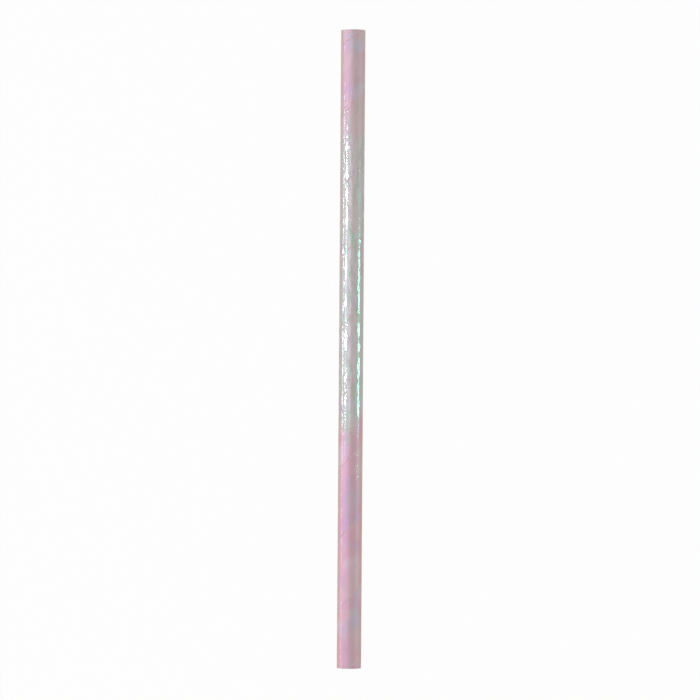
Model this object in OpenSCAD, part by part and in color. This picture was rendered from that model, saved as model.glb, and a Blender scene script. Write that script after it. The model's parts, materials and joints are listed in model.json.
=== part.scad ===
// Paper drinking straw with a pearl film on the outside, lying along Y.
// Strips of paper are wound side by side in a right-handed helix, glued on top of each
// other into one stiff tube, and the tube is cut off square with a knife.
// The edges of the outer strip don't quite meet: they leave a fine groove that winds round
// the outside. The innermost strip leaves another in the bore. The strips are staggered
// round the tube, so the two grooves never face each other through the wall.
// The tube rests on a small flat spot, as soft paper gets from lying: that spot is at z = 0,
// and mid-length is at y = 0.

/* [Tube] */
// Outside diameter
tube_d = 8; // [6:0.1:12]
// Length between the cut ends
tube_l = 210; // [120:1:260]
// Chamfer that the knife leaves on the corners of the wall at each end
knife_c = 0.05; // [0.02:0.01:0.08]
// How far the underside is pressed flat where the straw lies on it
rest_flat = 0.05; // [0.03:0.01:0.1]

/* [Paper] */
// Thickness of the outer strip, a thin paper with the film on it
facing_t = 0.07; // [0.05:0.005:0.1]
// Thickness of each plain strip under it
core_t = 0.165; // [0.1:0.005:0.22]
// Number of plain strips under it
core_plies = 2; // [2:1:4]

/* [Winding] */
// Width of the outer strip, square to its edges
strip_w = 17; // [12:0.5:18]
// Gap between the edges of two neighbouring turns, square to them
seam_gap = 0.2; // [0.1:0.05:0.4]
// Where the outer seam passes at mid-length, in degrees from the top of the tube towards +X
seam_turn = 194; // [0:1:359]
// Turn from the seam of one strip to the seam of the strip under it
stagger_turn = 135; // [40:1:170]

/* [Hidden] */

// Sides of a full circle
round_fn = 96;
// Turn of a seam from one of its steps to the next
seam_step = 10;
// How far a cutter runs past the surface or the end that it cuts through
past = 0.5;

tube_r = tube_d / 2;
wall_t = facing_t + core_plies * core_t;
bore_r = tube_r - wall_t;

// One turn of the outer strip, unrolled, is a parallelogram: as wide as the tube is round,
// and leaning so that the strip climbs by one pitch for each turn.
tube_round = PI * tube_d;
lean = asin(strip_w / tube_round);
pitch = tube_round * tan(lean);
// The gap, measured round the tube instead of square to the edges
gap_round = seam_gap / sin(lean);
// Where the innermost strip's seam passes at mid-length
inner_turn = seam_turn + core_plies * stagger_turn;

// Section of the wall, from the bore outwards, standing on its lower end
module wall_section() {
    end_y = tube_l / 2;
    polygon([
        [bore_r + knife_c, -end_y],
        [tube_r - knife_c, -end_y],
        [tube_r, -end_y + knife_c],
        [tube_r, end_y - knife_c],
        [tube_r - knife_c, end_y],
        [bore_r + knife_c, end_y],
        [bore_r, end_y - knife_c],
        [bore_r, -end_y + knife_c],
    ]);
}

// Cutter for one seam: a bar between two radii that climbs in a right-handed helix along the
// whole tube and past its ends, and passes the angle mid_turn at mid-length.
module seam_cutter(r_from, r_to, mid_turn) {
    cut_l = tube_l + 2 * past;
    climb = 360 * cut_l / pitch;
    rotate(mid_turn - climb / 2)
        translate([0, 0, -cut_l / 2])
            linear_extrude(height = cut_l, twist = -climb, slices = ceil(climb / seam_step))
                translate([r_from, -gap_round / 2])
                    square([r_to - r_from, gap_round]);
}

// What is pressed away under the lying tube: a block from the surface downwards
module under_surface() {
    translate([-tube_r, -tube_l / 2 - past, -tube_r])
        cube([tube_d, tube_l + 2 * past, tube_r]);
}

module straw_tube() {
    // Angles are counted from the top of the lying tube
    top = -90;
    color("#d8bccb")
        difference() {
            translate([0, 0, tube_r - rest_flat])
                rotate([-90, 0, 0])
                    difference() {
                        rotate_extrude($fn = round_fn)
                            wall_section();
                        seam_cutter(tube_r - facing_t, tube_r + past, top + seam_turn);
                        seam_cutter(bore_r - past, bore_r + core_t, top + inner_turn);
                    }
            under_surface();
        }
}

straw_tube();
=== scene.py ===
"""A paper drinking straw with a pearl film on it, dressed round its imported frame.

The straw lies along +Y on a plain white floor and the camera looks straight down on it.
One piece is made here, and it stands for the whole straw: a closed tube whose surface
follows the winding of its paper strips, with a pearl film on the outer strip and bare
paper in the seams, at the cut ends and in the bore.
"""

import json
import logging
import math
from dataclasses import dataclass
from enum import IntEnum
from typing import Any

import bpy
import numpy as np
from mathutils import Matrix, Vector


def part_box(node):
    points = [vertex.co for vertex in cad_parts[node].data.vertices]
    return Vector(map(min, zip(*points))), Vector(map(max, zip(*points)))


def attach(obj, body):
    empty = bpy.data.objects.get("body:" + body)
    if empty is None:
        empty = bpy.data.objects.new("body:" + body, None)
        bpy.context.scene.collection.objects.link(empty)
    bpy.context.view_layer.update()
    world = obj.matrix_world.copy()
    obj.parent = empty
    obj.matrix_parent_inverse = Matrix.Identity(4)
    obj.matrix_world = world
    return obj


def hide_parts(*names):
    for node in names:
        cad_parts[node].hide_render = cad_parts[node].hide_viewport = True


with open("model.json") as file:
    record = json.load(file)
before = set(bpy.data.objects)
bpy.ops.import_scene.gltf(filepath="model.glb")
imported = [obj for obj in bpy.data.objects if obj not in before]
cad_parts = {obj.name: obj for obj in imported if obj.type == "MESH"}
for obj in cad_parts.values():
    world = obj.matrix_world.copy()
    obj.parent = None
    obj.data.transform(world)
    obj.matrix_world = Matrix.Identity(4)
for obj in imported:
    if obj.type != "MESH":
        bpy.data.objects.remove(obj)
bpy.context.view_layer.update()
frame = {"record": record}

LOG = logging.getLogger("straw")

MM = 0.001
FULL_TURN = 2 * math.pi
STRIP_MAP = "strip"
WHITE = (1.0, 1.0, 1.0)

Triple = tuple[float, float, float]
Colour = Triple
Socket = bpy.types.NodeSocket


class Layer(IntEnum):
    """What shows on a face of the tube, as a place in its list of materials."""

    FILM = 0
    SEAM = 1
    PAPER = 2


class Value:
    """A number on its way through a node tree, with the usual arithmetic on it."""

    def __init__(self, graph: "Graph", socket: Socket) -> None:
        """Wraps a socket.

        Args:
            graph: The node tree that the socket is in.
            socket: The output socket that gives the number.
        """
        self.graph = graph
        self.socket = socket

    def _math(self, operation: str, first: Any, second: Any) -> "Value":
        """Adds one Math node that works on two numbers or sockets."""
        made = self.graph.node(
            "ShaderNodeMath", {"operation": operation}, {0: first, 1: second}
        )
        return Value(self.graph, made.outputs[0])

    def __add__(self, other: Any) -> "Value":
        """This number plus another."""
        return self._math("ADD", self, other)

    def __radd__(self, other: Any) -> "Value":
        """Another number plus this one."""
        return self._math("ADD", other, self)

    def __sub__(self, other: Any) -> "Value":
        """This number less another."""
        return self._math("SUBTRACT", self, other)

    def __rsub__(self, other: Any) -> "Value":
        """Another number less this one."""
        return self._math("SUBTRACT", other, self)

    def __mul__(self, other: Any) -> "Value":
        """This number times another."""
        return self._math("MULTIPLY", self, other)

    def __rmul__(self, other: Any) -> "Value":
        """Another number times this one."""
        return self._math("MULTIPLY", other, self)

    def maximum(self, other: Any) -> "Value":
        """The larger of this number and another."""
        return self._math("MAXIMUM", self, other)


class Graph:
    """The node tree of one material or of the world."""

    def __init__(self, tree: bpy.types.NodeTree) -> None:
        """Empties a tree.

        Args:
            tree: The node tree to fill.
        """
        self.tree = tree
        tree.nodes.clear()

    def node(
        self,
        kind: str,
        settings: dict[str, Any] | None = None,
        sockets: dict[str | int, Any] | None = None,
    ) -> bpy.types.Node:
        """Adds one node.

        Args:
            kind: The node's type.
            settings: Its own settings, which are set first.
            sockets: The value or the link of each input, by its name or number.

        Returns:
            The new node.
        """
        made = self.tree.nodes.new(kind)
        for name, value in (settings or {}).items():
            setattr(made, name, value)
        for name, value in (sockets or {}).items():
            source = value.socket if isinstance(value, Value) else value
            if isinstance(source, Socket):
                self.tree.links.new(source, made.inputs[name])
            else:
                made.inputs[name].default_value = source
        return made

    def noise(self, vector: Socket, scale: float, detail: float, rough: float = 0.5) -> Value:
        """A soft random number from 0 to 1 that changes from place to place.

        Args:
            vector: The place.
            scale: How many times it changes over one unit of the place.
            detail: How many finer layers are added.
            rough: How strong the finer layers are.

        Returns:
            The number.
        """
        made = self.node(
            "ShaderNodeTexNoise",
            {"noise_dimensions": "3D"},
            {"Vector": vector, "Scale": scale, "Detail": detail, "Roughness": rough},
        )
        return Value(self, made.outputs["Fac"])

    def stretched(
        self, vector: Socket, scale: Triple, move: Triple = (0.0, 0.0, 0.0)
    ) -> Socket:
        """A place whose axes are scaled and moved, to stretch and shift a pattern."""
        made = self.node(
            "ShaderNodeMapping", {}, {"Vector": vector, "Scale": scale, "Location": move}
        )
        return made.outputs["Vector"]

    def ramp_up(self, value: Value, low: float, high: float) -> Value:
        """0 up to low, 1 from high on, and a smooth step between."""
        made = self.node(
            "ShaderNodeMapRange",
            {"interpolation_type": "SMOOTHSTEP"},
            {"Value": value, "From Min": low, "From Max": high},
        )
        return Value(self, made.outputs["Result"])

    def mix_colour(self, factor: Any, first: Any, second: Any) -> Socket:
        """A colour between two others.

        Args:
            factor: 0 for the first colour and 1 for the second.
            first: A colour or the socket of one.
            second: A colour or the socket of one.

        Returns:
            The colour's socket.
        """
        first_socket, second_socket, result = 6, 7, 2
        made = self.node(
            "ShaderNodeMix",
            {"data_type": "RGBA", "clamp_factor": True},
            {
                0: factor,
                first_socket: (*first, 1.0) if isinstance(first, tuple) else first,
                second_socket: (*second, 1.0) if isinstance(second, tuple) else second,
            },
        )
        return made.outputs[result]

    def mix_shader(self, factor: Any, first: Socket, second: Socket) -> Socket:
        """A shader between two others, from the first at 0 to the second at 1."""
        made = self.node("ShaderNodeMixShader", {}, {0: factor, 1: first, 2: second})
        return made.outputs[0]

    def bump(self, height: Value, distance: float, under: Socket | None = None) -> Socket:
        """A normal that follows small heights on the surface.

        Args:
            height: The height, where 1 is a full step.
            distance: What a full step measures, in metres.
            under: The normal that it is added to, if not the surface's own.

        Returns:
            The normal's socket.
        """
        sockets = {"Height": height, "Distance": distance, "Strength": 1.0}
        if under is not None:
            sockets["Normal"] = under
        return self.node("ShaderNodeBump", {}, sockets).outputs["Normal"]

    def background_rays(self) -> Value:
        """1 for what the camera sees, also in a shine or through glass, and 0 for light."""
        path = self.node("ShaderNodeLightPath")
        seen = Value(self, path.outputs["Is Camera Ray"])
        for kind in ("Is Glossy Ray", "Is Transmission Ray"):
            seen = seen.maximum(Value(self, path.outputs[kind]))
        return seen


@dataclass(frozen=True)
class Patches:
    """One pattern of soft patches: its own shift, and the noise at which it starts and is full."""

    move: float
    low: float
    high: float


@dataclass(frozen=True)
class PearlFilm:
    """Thin clear film on the outer strip that shifts between pink, lilac, blue and green, with a
    painted reflection in a mint stretch about the middle.
    """

    paper_tone: Colour = (0.52, 0.375, 0.22)
    pink_tone: Colour = (0.54, 0.315, 0.205)
    blue_tone: Colour = (0.44, 0.44, 0.42)
    cream_tone: Colour = (0.53, 0.44, 0.32)
    # Painted reflection: the paper's tone in the middle stretch where the lamps' reflection falls
    # along the straw.
    painted_reflection_tone: Colour = (0.46, 0.335, 0.33)
    pink_patches: Patches = Patches(move=0.0, low=0.35, high=0.65)
    blue_patches: Patches = Patches(move=40.0, low=0.56, high=0.74)
    cream_patches: Patches = Patches(move=90.0, low=0.52, high=0.70)
    violet_patches: Patches = Patches(move=130.0, low=0.40, high=0.66)
    uneven_patches: Patches = Patches(move=70.0, low=0.30, high=0.70)
    patch_length: float = 11.0
    patch_width: float = 9.0
    patch_detail: float = 1.5
    film_ior: float = 2.2
    rose_film_nm: float = 478.0
    mint_film_nm: float = 446.0
    violet_film_nm: float = 260.0
    white_film_nm: float = 46.0
    cyan_film_nm: float = 406.0
    sheen_rough: float = 0.47
    blue_most: float = 0.5
    violet_share: float = 0.50
    violet_share_more: float = 0.26
    # The mint stretch set here is a painted reflection: where the lamps' reflection falls along the
    # straw, the tone cools, the film turns mint, violet fades and glints gather.
    painted_reflection_less_violet: float = 0.7
    painted_reflection_most: float = 0.8
    mint_from: float = -30 * MM
    mint_to: float = 62 * MM
    mint_fade: float = 14 * MM
    mint_left_past_it: float = 0.2
    wave_size: float = 2.5 * MM
    wave_height: float = 0.045 * MM
    plain_detail: float = 1.0
    crinkle_size: float = 0.60 * MM
    crinkle_height: float = 0.07 * MM
    crinkle_shape: Triple = (1.0, 0.16, 1.0)
    crinkle_detail: float = 2.0
    crinkle_rough: float = 0.6
    glint_share: float = 0.10
    # Painted highlight: extra glints in the painted reflection stretch, where the streak lamps
    # reflect.
    glint_share_in_painted_reflection: float = 0.66
    glint_rough: float = 0.06
    glint_rough_more: float = 0.05
    glint_rough_size: float = 2.0 * MM
    fleck_size: float = 1.2 * MM
    fleck_from: float = 0.50
    fleck_full: float = 0.66
    dash_size: float = 0.60 * MM
    dash_shape: Triple = (1.0, 0.14, 1.0)
    dash_detail: float = 0.5
    dash_from: float = 0.53
    dash_full: float = 0.59
    dash_cut: float = 0.95

    def material(self) -> bpy.types.Material:
        """Builds the film's material."""
        made = bpy.data.materials.new("pearl_film")
        made.use_nodes = True
        FilmTree(self, made.node_tree).build()
        return made


class FilmTree:
    """The node tree of a pearl film.

    A wide sheen and narrow glints lie on tinted paper. Both are thin films, so the light that
    they throw back changes colour with its angle. The sheen is rose, mint or violet by its
    film's thickness, and the glints are white or cyan. The tint and the shares of the films
    vary in soft patches that run along the strip, so that they are cut off at the seams. A
    stretch about the middle is a painted reflection: where the lamps' reflection falls along
    the straw, the tint turns cooler, the sheen turns mint and the glints gather.
    """

    def __init__(self, film: PearlFilm, tree: bpy.types.NodeTree) -> None:
        """Starts the tree with what its other nodes share.

        Args:
            film: The film's colours and sizes.
            tree: The material's node tree.
        """
        self.film = film
        self.graph = Graph(tree)
        self.strip = self.graph.node("ShaderNodeUVMap", {"uv_map": STRIP_MAP}).outputs["UV"]
        self.place = self.graph.node("ShaderNodeTexCoord").outputs["Object"]
        self.along = self.graph.stretched(self.place, film.crinkle_shape)
        wave = self.graph.noise(self.along, 1.0 / film.wave_size, film.plain_detail)
        self.wavy = self.graph.bump(wave, film.wave_height)
        self.blue = film.blue_most * self._patches(film.blue_patches)
        # Painted reflection: a stretch about the middle where the lamps' reflection falls along the
        # straw.
        self.painted_reflection = film.painted_reflection_most * self._painted_reflection_stretch()
        self.tone = self._tone()

    def build(self) -> None:
        """Lays the glints over the sheen and ends the tree."""
        both = self.graph.mix_shader(self._glint_share(), self._sheen(), self._glints())
        self.graph.node("ShaderNodeOutputMaterial", {}, {"Surface": both})

    def _patches(self, patches: Patches) -> Value:
        """A mask of soft patches that run along the strip.

        Args:
            patches: Which pattern, and how much of it shows.

        Returns:
            0 off the patches and 1 on them.
        """
        scale = (1.0 / self.film.patch_length, 1.0 / self.film.patch_width, 1.0)
        where = self.graph.stretched(self.strip, scale, (patches.move,) * 3)
        spots = self.graph.noise(where, 1.0, self.film.patch_detail)
        return self.graph.ramp_up(spots, patches.low, patches.high)

    def _painted_reflection_stretch(self) -> Value:
        """A mask of the painted reflection: the stretch about the middle where the lamps'
        reflection falls, painted more mint than pink.

        Soft patches move the stretch's ends, so that they aren't straight. The film turns back
        to pink over twice the length in which it turned to mint.

        Returns:
            0 near one end of the straw, 1 in the stretch, and a little past it.
        """
        film = self.film
        parts = self.graph.node("ShaderNodeSeparateXYZ", {}, {0: self.place})
        along = Value(self.graph, parts.outputs["Y"])
        moved = along + film.mint_fade * (self._patches(film.uneven_patches) - 0.5)
        begun = self.graph.ramp_up(moved, film.mint_from, film.mint_from + film.mint_fade)
        ended = self.graph.ramp_up(moved, film.mint_to, film.mint_to + 2 * film.mint_fade)
        return begun * (1 - (1 - film.mint_left_past_it) * ended)

    def _tone(self) -> Socket:
        """Colour of the paper under the film: pink, blue and cream in patches, and a painted
        reflection's cooler tone in the middle stretch.
        """
        film = self.film
        tone = self.graph.mix_colour(
            self._patches(film.pink_patches), film.paper_tone, film.pink_tone
        )
        tone = self.graph.mix_colour(self._patches(film.cream_patches), tone, film.cream_tone)
        # Painted reflection: the middle stretch takes the reflection's cooler tone.
        tone = self.graph.mix_colour(self.painted_reflection, tone, film.painted_reflection_tone)
        return self.graph.mix_colour(self.blue, tone, film.blue_tone)

    def _gloss(self, normal: Socket, rough: Any, film_nm: float) -> Socket:
        """One layer of gloss on the tinted paper.

        Args:
            normal: The surface's normal.
            rough: How widely the gloss spreads.
            film_nm: Thickness of the film in nanometres.

        Returns:
            The shader's socket.
        """
        made = self.graph.node(
            "ShaderNodeBsdfPrincipled",
            {},
            {
                "Base Color": self.tone,
                "Roughness": rough,
                "Normal": normal,
                "Thin Film Thickness": film_nm,
                "Thin Film IOR": self.film.film_ior,
            },
        )
        return made.outputs["BSDF"]

    def _sheen(self) -> Socket:
        """The wide sheen: rose, mint in the blue patches and in the painted reflection stretch, and
        violet.
        """
        film = self.film
        rose, painted_reflection, violet = (
            self._gloss(self.wavy, film.sheen_rough, film_nm)
            for film_nm in (film.rose_film_nm, film.mint_film_nm, film.violet_film_nm)
        )
        more = film.violet_share_more * self._patches(film.violet_patches)
        # Less violet and more mint sheen in the painted reflection stretch.
        violet_share = (film.violet_share + more) * (1 - film.painted_reflection_less_violet * self.painted_reflection)
        sheen = self.graph.mix_shader(self.blue.maximum(self.painted_reflection), rose, painted_reflection)
        return self.graph.mix_shader(violet_share, sheen, violet)

    def _glints(self) -> Socket:
        """The narrow glints on the crinkles: white, with flecks of cyan."""
        film = self.film
        crinkle = self.graph.noise(
            self.along, 1.0 / film.crinkle_size, film.crinkle_detail, film.crinkle_rough
        )
        crinkled = self.graph.bump(crinkle, film.crinkle_height, self.wavy)
        rough = film.glint_rough + film.glint_rough_more * self.graph.noise(
            self.along, 1.0 / film.glint_rough_size, film.plain_detail
        )
        white, cyan = (
            self._gloss(crinkled, rough, film_nm)
            for film_nm in (film.white_film_nm, film.cyan_film_nm)
        )
        flecks = self.graph.noise(self.along, 1.0 / film.fleck_size, film.plain_detail)
        return self.graph.mix_shader(
            self.graph.ramp_up(flecks, film.fleck_from, film.fleck_full), white, cyan
        )

    def _glint_share(self) -> Value:
        """How much glints: most in the painted reflection stretch, as a painted highlight where the
        streak lamps reflect, and broken by fine dashes.
        """
        film = self.film
        where = self.graph.stretched(self.place, film.dash_shape)
        dashes = self.graph.noise(where, 1.0 / film.dash_size, film.dash_detail)
        cut = film.dash_cut * self.graph.ramp_up(dashes, film.dash_from, film.dash_full)
        # Painted highlight: more glints in the painted reflection stretch.
        share = film.glint_share + film.glint_share_in_painted_reflection * self.painted_reflection
        return share * (1 - cut)


@dataclass(frozen=True)
class BarePaper:
    """Uncoated paper: matt, with short fibres in its tone and its relief."""

    name: str
    tone: Colour
    fibre_tone: Colour
    fibre_size: float = 0.12 * MM
    fibre_height: float = 0.008 * MM
    fibre_detail: float = 3.0
    fibre_rough: float = 0.65
    fibre_from: float = 0.45
    fibre_full: float = 0.75
    rough: float = 0.85

    def material(self) -> bpy.types.Material:
        """Builds the paper's material."""
        made = bpy.data.materials.new(self.name)
        made.use_nodes = True
        graph = Graph(made.node_tree)
        place = graph.node("ShaderNodeTexCoord").outputs["Object"]
        fibres = graph.noise(place, 1.0 / self.fibre_size, self.fibre_detail, self.fibre_rough)
        shown = graph.ramp_up(fibres, self.fibre_from, self.fibre_full)
        shader = graph.node(
            "ShaderNodeBsdfPrincipled",
            {},
            {
                "Base Color": graph.mix_colour(shown, self.tone, self.fibre_tone),
                "Roughness": self.rough,
                "Normal": graph.bump(fibres, self.fibre_height),
            },
        )
        graph.node("ShaderNodeOutputMaterial", {}, {"Surface": shader.outputs["BSDF"]})
        return made


SEAM_PAPER = BarePaper("seam_paper", tone=(0.72, 0.60, 0.61), fibre_tone=(0.66, 0.54, 0.55))
WHITE_PAPER = BarePaper("white_paper", tone=(0.80, 0.76, 0.74), fibre_tone=(0.72, 0.67, 0.65))


@dataclass
class StrawTube:
    """The tube: three strips of paper, wound side by side in a right-handed helix and glued."""

    node: str
    outer_r: float
    bore_r: float
    half_l: float
    axis_z: float
    strip_w: float = 17 * MM
    seam_gap: float = 0.2 * MM
    seam_turn: float = math.radians(194)
    stagger_turn: float = math.radians(135)
    facing_t: float = 0.07 * MM
    core_t: float = 0.165 * MM
    knife_c: float = 0.05 * MM
    groove_slope: float = 0.06
    lip_h: float = 0.012 * MM
    lip_w: float = 0.25 * MM
    lip_columns: tuple[float, ...] = (1.0, 2.5)
    crease_h: float = 0.014 * MM
    crease_w: float = 0.30 * MM
    crease_columns: tuple[float, ...] = (0.5, 1.0, 2.0)
    deeper_crease_share: float = 0.5
    ply_line_h: float = 0.014 * MM
    ply_line_share: float = 0.035
    gap_change: float = 0.35
    gap_change_reach: float = math.radians(5)
    gap_wave_shortest: float = 4 * MM
    gap_wave_longest: float = 60 * MM
    gap_waves: int = 6
    around: int = 96
    nearest_column: float = 0.35
    outer_step: float = 0.45 * MM
    bore_step: float = 1.0 * MM
    corner_turns: tuple[float, ...] = (30.0, 60.0, 90.0)
    sharp_from: float = math.radians(35)
    least_down: float = 0.5
    seed: int = 7

    @classmethod
    def from_frame(cls, node: str) -> "StrawTube":
        """Takes the tube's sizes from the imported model.

        Args:
            node: The node of the tube.

        Returns:
            A tube of the same size in the same place.
        """
        low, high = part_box(node)
        mounts = {mount["name"]: mount for mount in frame["record"]["mounts"]}
        return cls(
            node=node,
            outer_r=mounts["outside"]["dims"]["r_mm"] * MM,
            bore_r=mounts["bore"]["dims"]["r_mm"] * MM,
            half_l=(high.y - low.y) / 2,
            axis_z=mounts["bore"]["pos_m"][2],
        )

    @property
    def lean(self) -> float:
        """Angle of the seams from square to the tube: the strip's width over its round."""
        return math.asin(self.strip_w / (FULL_TURN * self.outer_r))

    @property
    def pitch(self) -> float:
        """How far a seam climbs in one turn."""
        return FULL_TURN * self.outer_r * math.tan(self.lean)

    @property
    def inner_turn(self) -> float:
        """Turn from the outer seam to the seam of the innermost strip, two strips under it."""
        return 2 * self.stagger_turn

    @property
    def half_gap(self) -> float:
        """Half the open seam, as a turn round the tube."""
        return self.seam_gap / math.sin(self.lean) / self.outer_r / 2

    @property
    def half_slope(self) -> float:
        """Half the width of the slope at each side of an open seam, as a turn."""
        return self.half_gap * self.groove_slope

    def _columns(self) -> np.ndarray:
        """Turns of the mesh's columns from the outer seam, in rising order, from 0.

        Even steps go once round. Finer columns mark the floor, the sides and the lips of each
        open seam and the covered seam's crease, and even ones too near to them are dropped.
        """
        lip = self.lip_w / self.outer_r
        crease = self.crease_w / self.outer_r
        sides = [self.half_gap - self.half_slope, self.half_gap + self.half_slope]
        groove = sides + [self.half_gap + share * lip for share in self.lip_columns]
        creases = [share * crease for share in self.crease_columns]
        fine = [0.0]
        for middle, offsets in (
            (0.0, groove),
            (self.stagger_turn, creases),
            (self.inner_turn, groove),
        ):
            fine += [middle + side * offset for offset in offsets for side in (-1, 1)]
            fine.append(middle)
        fine = np.unique(np.round(np.mod(fine, FULL_TURN), decimals=9))
        step = FULL_TURN / self.around
        even = np.arange(self.around) * step
        apart = np.abs(even[:, None] - np.append(fine, FULL_TURN)[None, :]).min(axis=1)
        keep = even[apart > self.nearest_column * step]
        return np.sort(np.concatenate([fine, keep]))

    def _waves(self, place: np.ndarray) -> np.ndarray:
        """A smooth random wave from about -1 to 1: twice the mean of sines of seeded phases."""
        draw = np.random.default_rng(self.seed)
        lengths = np.geomspace(self.gap_wave_shortest, self.gap_wave_longest, self.gap_waves)
        phases = draw.uniform(0, FULL_TURN, self.gap_waves)
        waves = np.sin(place[..., None] * FULL_TURN / lengths + phases)
        return waves.mean(axis=-1) * 2

    def _loop(self) -> tuple[np.ndarray, np.ndarray, np.ndarray]:
        """The wall's profile, once round: outside, far end, bore, near end.

        A point is given by its place along the tube and by its depth in the wall, from 1 on
        the outside to 0 on the bore. Each end has the corners that the knife rounds off, as
        quarter circles, and a fine line between two plies, as a notch.

        Returns:
            The places along the tube, the depths, and which points are on the outside.
        """
        wall = self.outer_r - self.bore_r
        flat_l = self.half_l - self.knife_c
        outside = np.linspace(-flat_l, flat_l, round(2 * flat_l / self.outer_step) + 1)
        bore = np.linspace(flat_l, -flat_l, round(2 * flat_l / self.bore_step) + 1)
        corner = np.radians(self.corner_turns)
        corner_y = self.half_l - self.knife_c * (1 - np.sin(corner))
        corner_in = self.knife_c / wall * (1 - np.cos(corner))
        lines = 1 - np.array([self.facing_t, self.facing_t + self.core_t]) / wall
        notch = self.ply_line_share * np.array([1.0, 0.0, -1.0])
        notch_y = self.half_l - self.ply_line_h * np.array([0.0, 1.0, 0.0])
        end_depth = np.concatenate(
            [1 - corner_in, (lines[:, None] + notch[None, :]).ravel(), corner_in[::-1]]
        )
        end_y = np.concatenate([corner_y, np.tile(notch_y, lines.size), corner_y[::-1]])
        along = np.concatenate([outside, end_y, bore, -end_y])
        depth = np.concatenate(
            [np.ones(outside.size), end_depth, np.zeros(bore.size), end_depth[::-1]]
        )
        on_outside = np.arange(along.size) < outside.size
        return along, depth, on_outside

    def _open_seam(self, from_seam: np.ndarray) -> np.ndarray:
        """1 on the floor of an open seam, 0 off it, and a steep straight slope at its sides."""
        slope = 2 * self.half_slope
        return np.clip((self.half_gap + self.half_slope - from_seam) / slope, 0, 1)

    def _outer_radius(self, turn: np.ndarray, angle: np.ndarray) -> np.ndarray:
        """Radius of the outside.

        The tube's radius, less the outer strip's thickness in the open seam, plus a lip that
        dies away from each edge of the strip, less a soft crease over each covered seam. It is
        no more than what the flat spot leaves: the axis' height over the cosine of the angle
        from straight down. That cosine is taken as least_down or more, which leaves the sides
        and the top of the tube round.

        Args:
            turn: Turn from the outer seam, from 0 to a full one.
            angle: Angle from the top of the tube towards +X.

        Returns:
            The radius at each point.
        """
        from_seam = np.minimum(turn, FULL_TURN - turn)
        open_seam = self._open_seam(from_seam)
        from_edge = np.maximum(from_seam - self.half_gap, 0) * self.outer_r
        lip = self.lip_h * np.exp(-from_edge / self.lip_w) * (1 - open_seam)
        crease = sum(
            height * np.exp(-(((turn - middle) * self.outer_r / self.crease_w) ** 2))
            for middle, height in (
                (self.stagger_turn, self.crease_h),
                (self.inner_turn, self.crease_h * self.deeper_crease_share),
            )
        )
        radius = self.outer_r + lip - crease - self.facing_t * open_seam
        flat = self.axis_z / np.maximum(-np.cos(angle), self.least_down)
        return np.minimum(radius, flat)

    def _bore_radius(self, turn: np.ndarray) -> np.ndarray:
        """Radius of the bore, and deeper by one strip in the innermost strip's open seam."""
        return self.bore_r + self.core_t * self._open_seam(np.abs(turn - self.inner_turn))

    def _points(self, columns: np.ndarray, along: np.ndarray, depth: np.ndarray) -> np.ndarray:
        """The tube's surface as a grid of points.

        A column's angle is its turn from the outer seam, plus the angle at which that seam
        passes, which grows by a full turn for each pitch. Near the seam the turn is stretched
        by a smooth random wave, so that the gap isn't even. A point stands at that angle, at
        a radius between the bore's and the outside's.

        Args:
            columns: The columns' turns from the outer seam.
            along: The rows' places along the tube.
            depth: The rows' depths in the wall, from 1 outside to 0 on the bore.

        Returns:
            The points, by row and column.
        """
        turn, place = np.meshgrid(columns, along)
        nearness = np.minimum(turn, FULL_TURN - turn) / self.gap_change_reach
        change = self.gap_change * self._waves(place) * np.exp(-(nearness**2))
        signed = np.where(turn > math.pi, turn - FULL_TURN, turn)
        angle = turn + signed * change + self.seam_turn + FULL_TURN * place / self.pitch
        inner = self._bore_radius(turn)
        radius = inner + (self._outer_radius(turn, angle) - inner) * depth[:, None]
        return np.stack(
            [radius * np.sin(angle), place, self.axis_z + radius * np.cos(angle)], axis=-1
        )

    @staticmethod
    def _quads(columns: np.ndarray, rows: int) -> tuple[np.ndarray, np.ndarray, np.ndarray]:
        """Joins a grid that closes both ways into four-sided faces.

        Args:
            columns: The columns' turns.
            rows: How many rows there are.

        Returns:
            The faces' corners, the turn of each corner, which goes on to a full turn where
            the grid closes, and the row of each corner.
        """
        count = columns.size
        row, column = np.meshgrid(np.arange(rows), np.arange(count), indexing="ij")
        next_row = (row + 1) % rows
        next_column = (column + 1) % count
        corner_rows = np.stack([row, row, next_row, next_row], axis=-1)
        corner_columns = np.stack([column, next_column, next_column, column], axis=-1)
        far = np.append(columns, FULL_TURN)
        corner_turn = np.stack(
            [far[column], far[column + 1], far[column + 1], far[column]], axis=-1
        )
        faces = corner_rows * count + corner_columns
        return faces.reshape(-1, 4), corner_turn.ravel(), corner_rows.ravel()

    def _map_strip(self, mesh: bpy.types.Mesh, turn: np.ndarray, along: np.ndarray) -> None:
        """Gives each corner its place on the unrolled outer strip, in millimetres.

        Along the strip it is the turn's arc times the cosine of the lean, plus the place
        along the tube over its sine. Across the strip it is the arc times the sine.

        Args:
            mesh: The tube's mesh.
            turn: Turn of each corner from the outer seam.
            along: Place of each corner along the tube.
        """
        arc = turn * self.outer_r
        along_strip = arc * math.cos(self.lean) + along / math.sin(self.lean)
        across_strip = arc * math.sin(self.lean)
        layer = mesh.uv_layers.new(name=STRIP_MAP)
        spots = np.stack([along_strip, across_strip], axis=-1) / MM
        layer.data.foreach_set("uv", spots.astype(np.float32).ravel())

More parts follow.
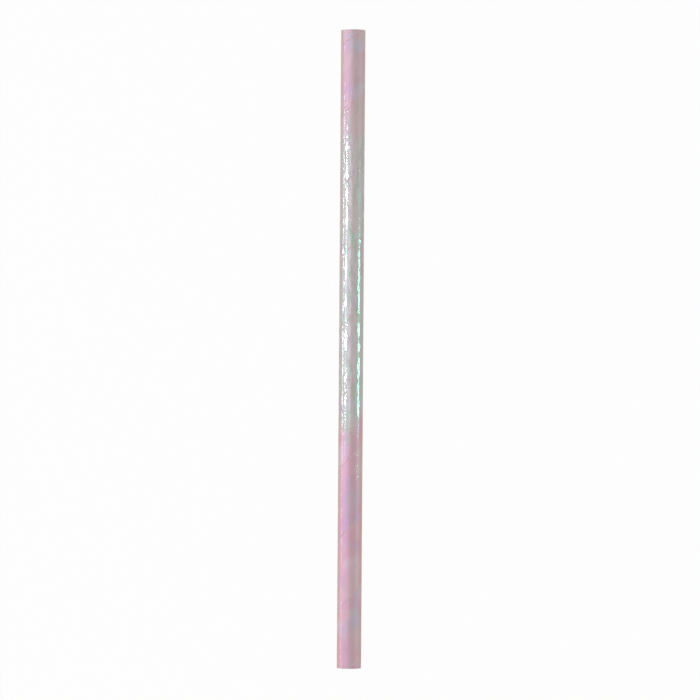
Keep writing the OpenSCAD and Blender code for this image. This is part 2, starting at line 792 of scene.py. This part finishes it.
    def _layers(self, columns: np.ndarray, on_outside: np.ndarray) -> np.ndarray:
        """Which layer shows on each face.

        Args:
            columns: The columns' turns from the outer seam.
            on_outside: Which rows are on the outside.

        Returns:
            The film outside, the seam's paper in the open seam, and white paper elsewhere.
        """
        middle = (columns + np.append(columns[1:], FULL_TURN)) / 2
        on_strip = np.minimum(middle, FULL_TURN - middle) > self.half_gap + self.half_slope / 2
        outside = on_outside & np.roll(on_outside, -1)
        shown = np.where(on_strip, Layer.FILM, Layer.SEAM)
        return np.where(outside[:, None], shown[None, :], Layer.PAPER)

    def build(self) -> bpy.types.Object:
        """Builds the tube as one closed surface.

        Returns:
            The tube, with its materials and with the strip's own map.
        """
        along, depth, on_outside = self._loop()
        columns = self._columns()
        points = self._points(columns, along, depth)
        quads, corner_turn, corner_row = self._quads(columns, along.size)
        mesh = bpy.data.meshes.new("pearl_straw")
        mesh.from_pydata(points.reshape(-1, 3).tolist(), [], quads.tolist())
        self._map_strip(mesh, corner_turn, along[corner_row])
        for finish in (PearlFilm(), SEAM_PAPER, WHITE_PAPER):
            mesh.materials.append(finish.material())
        layers = self._layers(columns, on_outside).ravel().astype(np.int32)
        mesh.polygons.foreach_set("material_index", layers)
        mesh.shade_smooth()
        mesh.set_sharp_from_angle(angle=self.sharp_from)
        mesh.update()
        made = bpy.data.objects.new("pearl_straw", mesh)
        bpy.context.scene.collection.objects.link(made)
        return made


@dataclass(frozen=True)
class Lamp:
    """One soft lamp that faces the straw from the side."""

    name: str
    angle: float
    distance: float
    along: float
    width: float
    length: float
    power: float
    only_gloss: bool = False
    tint: Colour = WHITE

    def build(self, axis_z: float) -> None:
        """Hangs the lamp and turns it to the straw.

        Its angle is counted from straight above towards +X, in degrees, its length runs along
        the straw, and its power is in watts. One that only makes glints lights nothing else.

        Args:
            axis_z: Height of the straw's axis.
        """
        light = bpy.data.lights.new(self.name, "AREA")
        light.shape = "RECTANGLE"
        light.size_y = self.width
        light.size = self.length
        light.energy = self.power
        light.color = self.tint
        made = bpy.data.objects.new(self.name, light)
        made.visible_diffuse = not self.only_gloss
        bpy.context.scene.collection.objects.link(made)
        target = Vector((0, self.along, axis_z))
        turn = math.radians(self.angle)
        made.location = target + self.distance * Vector((math.sin(turn), 0, math.cos(turn)))
        made.rotation_euler = (target - made.location).to_track_quat("-Z", "Y").to_euler()


LAMPS = (
    Lamp("key", angle=-26.0, distance=0.70, along=0.0, width=0.50, length=0.70, power=0.36),
    Lamp("low", angle=-90.0, distance=0.70, along=0.0, width=0.17, length=0.70, power=2.45),
    Lamp(
        "band", angle=-22.0, distance=0.70, along=0.0, width=0.40, length=0.70, power=0.56,
        only_gloss=True,
    ),
    Lamp(
        "streak", angle=-54.5, distance=0.50, along=34 * MM, width=0.065, length=0.11,
        power=0.74, only_gloss=True,
    ),
    Lamp(
        "side_streak", angle=76.0, distance=0.50, along=-2 * MM, width=0.06, length=0.09,
        power=0.48, only_gloss=True, tint=(0.25, 1.0, 0.62),
    ),
)


@dataclass
class Studio:
    """The floor, the light and the camera."""

    axis_z: float
    view_h: float = 1300 * MM
    view_w: float = 230.5 * MM
    roll: float = math.radians(0.4)
    aside: float = -0.36 * MM
    below: float = -0.3 * MM
    nearest: float = 0.01
    farthest: float = 10.0
    floor_w: float = 4.0
    floor_gap: float = 0.02 * MM
    floor_tone: Colour = (0.85, 0.85, 0.85)
    world_level: float = 0.70
    white_share: float = 0.96

    def build(self) -> None:
        """Builds the whole studio."""
        self._floor()
        self._world()
        for lamp in LAMPS:
            lamp.build(self.axis_z)
        self._camera()
        bpy.context.scene.view_settings.view_transform = "Standard"

    def _floor(self) -> None:
        """A wide white floor just under the straw, which keeps the straw's shadow."""
        half = self.floor_w / 2
        mesh = bpy.data.meshes.new("floor")
        corners = [(-half, -half), (half, -half), (half, half), (-half, half)]
        mesh.from_pydata([(x, y, -self.floor_gap) for x, y in corners], [], [(0, 1, 2, 3)])
        material = bpy.data.materials.new("floor")
        material.use_nodes = True
        graph = Graph(material.node_tree)
        matt = graph.node("ShaderNodeBsdfDiffuse", {}, {"Color": (*self.floor_tone, 1.0)})
        white = graph.node("ShaderNodeEmission", {}, {"Color": (*WHITE, 1.0)})
        share = graph.background_rays() * self.white_share
        both = graph.mix_shader(share, matt.outputs[0], white.outputs[0])
        graph.node("ShaderNodeOutputMaterial", {}, {"Surface": both})
        mesh.materials.append(material)
        made = bpy.data.objects.new("floor", mesh)
        bpy.context.scene.collection.objects.link(made)

    def _world(self) -> None:
        """An even white light from all round, which looks full white in itself."""
        world = bpy.data.worlds.new("studio")
        bpy.context.scene.world = world
        world.use_nodes = True
        graph = Graph(world.node_tree)
        level = self.world_level + graph.background_rays() * (1.0 - self.world_level)
        light = graph.node(
            "ShaderNodeBackground", {}, {"Color": (*WHITE, 1.0), "Strength": level}
        )
        graph.node("ShaderNodeOutputWorld", {}, {"Surface": light.outputs[0]})

    def _camera(self) -> None:
        """A camera straight above the middle of the straw, turned a little on its axis."""
        lens = bpy.data.cameras.new("camera")
        lens.lens = lens.sensor_width * self.view_h / self.view_w
        lens.clip_start = self.nearest
        lens.clip_end = self.farthest
        made = bpy.data.objects.new("camera", lens)
        bpy.context.scene.collection.objects.link(made)
        made.location = (self.aside, self.below, self.axis_z + self.view_h)
        made.rotation_euler = (0, 0, self.roll)
        bpy.context.scene.camera = made


def main() -> None:
    logging.basicConfig(level=logging.INFO, format="%(name)s: %(message)s")
    tube = StrawTube.from_frame("straw_tube")
    straw = tube.build()
    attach(straw, "root")
    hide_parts(tube.node)
    LOG.info("%s: %d faces, pitch %.2f mm", straw.name, len(straw.data.polygons), tube.pitch / MM)
    Studio(axis_z=tube.axis_z).build()


if __name__ == "__main__":
    main()
